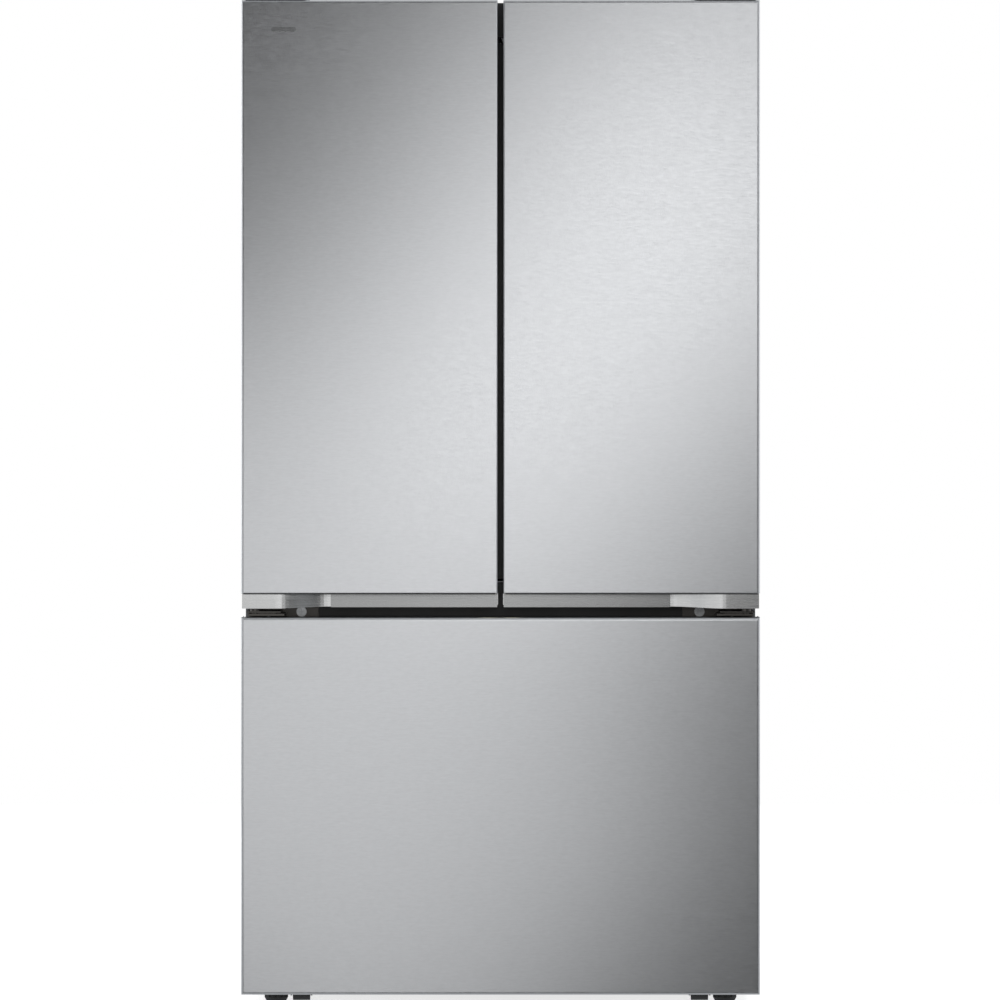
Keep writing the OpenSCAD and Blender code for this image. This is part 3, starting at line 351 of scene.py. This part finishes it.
def litFinish(name, look):
    # frosted lens over a row of small lamps
    finish, tree, shader = startFinish(name, look)
    frost = grainNoise(tree, (1, 1, 1), 300, detail=3)
    tint = tintBetween(tree, frost, shade(look["colour"], 0.95), look["colour"])
    tree.links.new(tint, shader.inputs["Base Color"])
    shader.inputs["Emission Color"].default_value = (*look["colour"], 1)
    shader.inputs["Emission Strength"].default_value = look["glow"]
    addBump(tree, shader, frost, 0.1, 0.0003)
    return finish


finishKinds = {"brushed": brushedFinish, "painted": paintedFinish, "zinc": zincFinish,
               "moulded": mouldedFinish, "clear": clearFinish, "rubber": rubberFinish,
               "foam": foamFinish, "lit": litFinish}
finishes = {slot: finishKinds[look["kind"]](slot + "_finish", look) for slot, look in finishLooks.items()}

slotByNode = {}
for nodeName, nodeObject in frame["nodes"].items():
    for place in nodeObject.material_slots:
        slotByNode[nodeName] = place.material.name.split(".")[0]
        place.material = finishes[slotByNode[nodeName]]
bodies = frame["record"]["behaviour"]["bodies"]
bodyByNode = {part: body for body, parts in bodies.items() for part in parts}
print("fridge: finishes on", len(frame["nodes"]), "nodes")


def onlySelect(piece):
    bpy.ops.object.select_all(action="DESELECT")
    piece.select_set(True)
    bpy.context.view_layer.objects.active = piece


def pickVerts(piece, wanted):
    # in edit mode: selects the corners that wanted(place) says yes to
    bpy.ops.mesh.select_mode(type="VERT")
    bpy.ops.mesh.select_all(action="DESELECT")
    mesh = bmesh.from_edit_mesh(piece.data)
    for vert in mesh.verts:
        if wanted(vert.co):
            vert.select_set(True)
    bmesh.update_edit_mesh(piece.data)


def addFinish(piece, slotName, look=None):
    piece.data.materials.clear()
    piece.data.materials.append(finishes[look or slotName])


def roundEdges(piece, width, segments=2, angle=32):
    onlySelect(piece)
    bevel = piece.modifiers.new("roundedEdges", "BEVEL")
    bevel.width = width
    bevel.segments = segments
    bevel.limit_method = "ANGLE"
    bevel.angle_limit = math.radians(angle)
    bevel.use_clamp_overlap = True
    bpy.ops.object.modifier_apply(modifier="roundedEdges")
    bpy.ops.object.shade_smooth_by_angle(angle=math.radians(angle))
    # or the narrow bevels tilt the wide faces' shading
    flatten = piece.modifiers.new("flatFaces", "WEIGHTED_NORMAL")
    flatten.keep_sharp = True
    bpy.ops.object.modifier_apply(modifier="flatFaces")


nodeMerge = {"distance": 0.00001, "flatWithin": 0.5}  # metres, degrees


def workOn(node, name):
    # a merged copy of a node's mesh, to be shaped further
    piece = bpy.data.objects.new(name, frame["nodes"][node].data.copy())
    bpy.context.scene.collection.objects.link(piece)
    onlySelect(piece)
    bpy.ops.object.mode_set(mode="EDIT")
    bpy.ops.mesh.select_all(action="SELECT")
    bpy.ops.mesh.remove_doubles(threshold=nodeMerge["distance"])
    bpy.ops.mesh.dissolve_limited(angle_limit=math.radians(nodeMerge["flatWithin"]))
    bpy.ops.object.mode_set(mode="OBJECT")
    return piece


def standFor(piece, node):
    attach(piece, bodyByNode[node])
    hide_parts(node)
    addFinish(piece, slotByNode[node])


# moulded and pressed parts whose edges are broken by a small radius, in metres
softEdges = {
    "fridge_liner": 0.004, "freezer_liner": 0.004, "left_door_liner": 0.003, "right_door_liner": 0.003,
    "freezer_door_liner": 0.003, "left_door_baskets": 0.0012, "right_door_baskets": 0.0012,
    "crispers": 0.0015, "freezer_basket": 0.0015, "upper_freezer_drawer": 0.0015, "shelf_frames": 0.0015,
    "shelf_panes": 0.0008, "centre_rail": 0.001, "mullion_flap": 0.002, "hinge_covers": 0.0016,
    "left_door_top_cap": 0.001, "right_door_top_cap": 0.001, "freezer_handle_cap": 0.0012,
    "freezer_bottom_cap": 0.001, "machine_cover": 0.0008, "drain_pan": 0.0015, "air_duct": 0.003,
    "ceiling_housing": 0.002, "evaporator_cover": 0.001, "flap_guide": 0.001, "middle_hinges": 0.0005,
    "top_hinges": 0.0006, "base_frame": 0.0008, "cabinet_shell": 0.0006, "water_valve": 0.0004,
    "case_screws": 0.0004, "compressor": 0.002, "door_badge": 0.0002,
}


def pieceName(node):
    words = node.split("_")
    return words[0] + "".join(word.capitalize() for word in words[1:])


for nodeName, radius in softEdges.items():
    softened = workOn(nodeName, pieceName(nodeName))
    roundEdges(softened, radius)
    standFor(softened, nodeName)
print("fridge: soft edges on", len(softEdges), "parts")


def makeBlock(name, low, high):
    # a box from corner to corner, its mesh in place and the piece at the origin
    bpy.ops.object.select_all(action="DESELECT")
    bpy.ops.mesh.primitive_cube_add(size=1, location=(0, 0, 0))
    piece = bpy.context.object
    piece.name = piece.data.name = name
    centre = [(a + b) / 2 for a, b in zip(low, high)]
    bpy.ops.object.mode_set(mode="EDIT")
    bpy.ops.mesh.select_all(action="SELECT")
    bpy.ops.transform.resize(value=[b - a for a, b in zip(low, high)], center_override=(0, 0, 0))
    bpy.ops.transform.translate(value=centre)
    bpy.ops.object.mode_set(mode="OBJECT")
    return piece


# a dark plate over the flap guide that closes the centre gap above the flap, a cap as many fridges have
# there, its darkness also painted shade standing in for the gap's shadow; the CAD has no such piece
guideCover = {"halfWidth": 0.008, "depth": 0.0095, "above": 0.001, "below": 0.001, "edge": 0.0012,
              "clearance": 0.0002}
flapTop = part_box("mullion_flap")[1].z
caseLow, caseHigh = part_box("cabinet_shell")
cover = makeBlock("flapGuideCover",
                  (-guideCover["halfWidth"], caseLow.y - guideCover["depth"], flapTop + guideCover["above"]),
                  (guideCover["halfWidth"], caseLow.y - guideCover["clearance"],
                   caseHigh.z - guideCover["below"]))
roundEdges(cover, guideCover["edge"])
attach(cover, "cabinet")
addFinish(cover, "dark_trim")

# a dark strip in the joint between each door's panel and its handle strip, painted shade standing for the
# shadow line under the panel's bottom fold; the CAD has no such piece
jointShadow = {"tall": 0.0015, "proud": 0.0003, "deep": 0.0012, "inset": 0.004, "edge": 0.0004,
        "below": 0.75}  # how much of it hangs under the panel
for side in ("left", "right"):
    panelLow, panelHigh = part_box(side + "_door_skin")
    inner, outer = sorted((panelLow.x, panelHigh.x), key=abs)
    sign = 1 if outer > 0 else -1
    ends = sorted((inner + sign * jointShadow["inset"], outer - sign * jointShadow["inset"]))
    jointZ = panelLow.z
    jointShadowStrip = makeBlock(side + "StripSeal",
                          (ends[0], panelLow.y - jointShadow["proud"], jointZ - jointShadow["tall"] * jointShadow["below"]),
                          (ends[1], panelLow.y + jointShadow["deep"], jointZ + jointShadow["tall"] * (1 - jointShadow["below"])))
    roundEdges(jointShadowStrip, jointShadow["edge"])
    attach(jointShadowStrip, side + "_door")
    addFinish(jointShadowStrip, "dark_trim")

# a plate over each finger grip's recess, its darker colour painted shade standing in for the recess's shadow
# under the overhanging panel; the CAD has no such piece
grip = {"from": 0.0055, "to": 0.298, "thick": 0.0012, "recess": 0.026, "low": 0.0016, "high": 0.0008,
        "edge": 0.0004, "corner": 0.005, "cornerCuts": 6,
        "reach": 0.0001, "colour": (0.385, 0.39, 0.39)}
# a darker copy of the satin strip finish: the painted shade of the grip recess
finishes["gripPlate"] = brushedFinish("gripPlate", {**finishLooks["satin_strip"], "colour": grip["colour"]})
for side, sign in (("left", -1), ("right", 1)):
    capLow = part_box(side + "_door_handle_cap")[0]
    face = capLow.y + grip["recess"]
    ends = sorted((sign * grip["from"], sign * grip["to"]))
    shadePlate = makeBlock(side + "GripPlate",
                      (ends[0], face - grip["thick"], capLow.z + grip["low"]),
                      (ends[1], face + grip["edge"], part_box(side + "_door_skin")[0].z - grip["high"]))
    onlySelect(shadePlate)
    bpy.ops.object.mode_set(mode="EDIT")
    pickVerts(shadePlate, lambda co: abs(co.x) < grip["from"] + grip["reach"] and co.z < capLow.z + grip["corner"])
    bpy.ops.mesh.bevel(offset=grip["corner"], segments=grip["cornerCuts"], affect="EDGES")
    bpy.ops.object.mode_set(mode="OBJECT")
    roundEdges(shadePlate, grip["edge"])
    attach(shadePlate, side + "_door")
    addFinish(shadePlate, "satin_strip", "gripPlate")
# the strip seals are the painted shadow lines under the panels, and the grip plates the painted shade in the
# grips
print("fridge: gap cover, strip seals and grip plates")
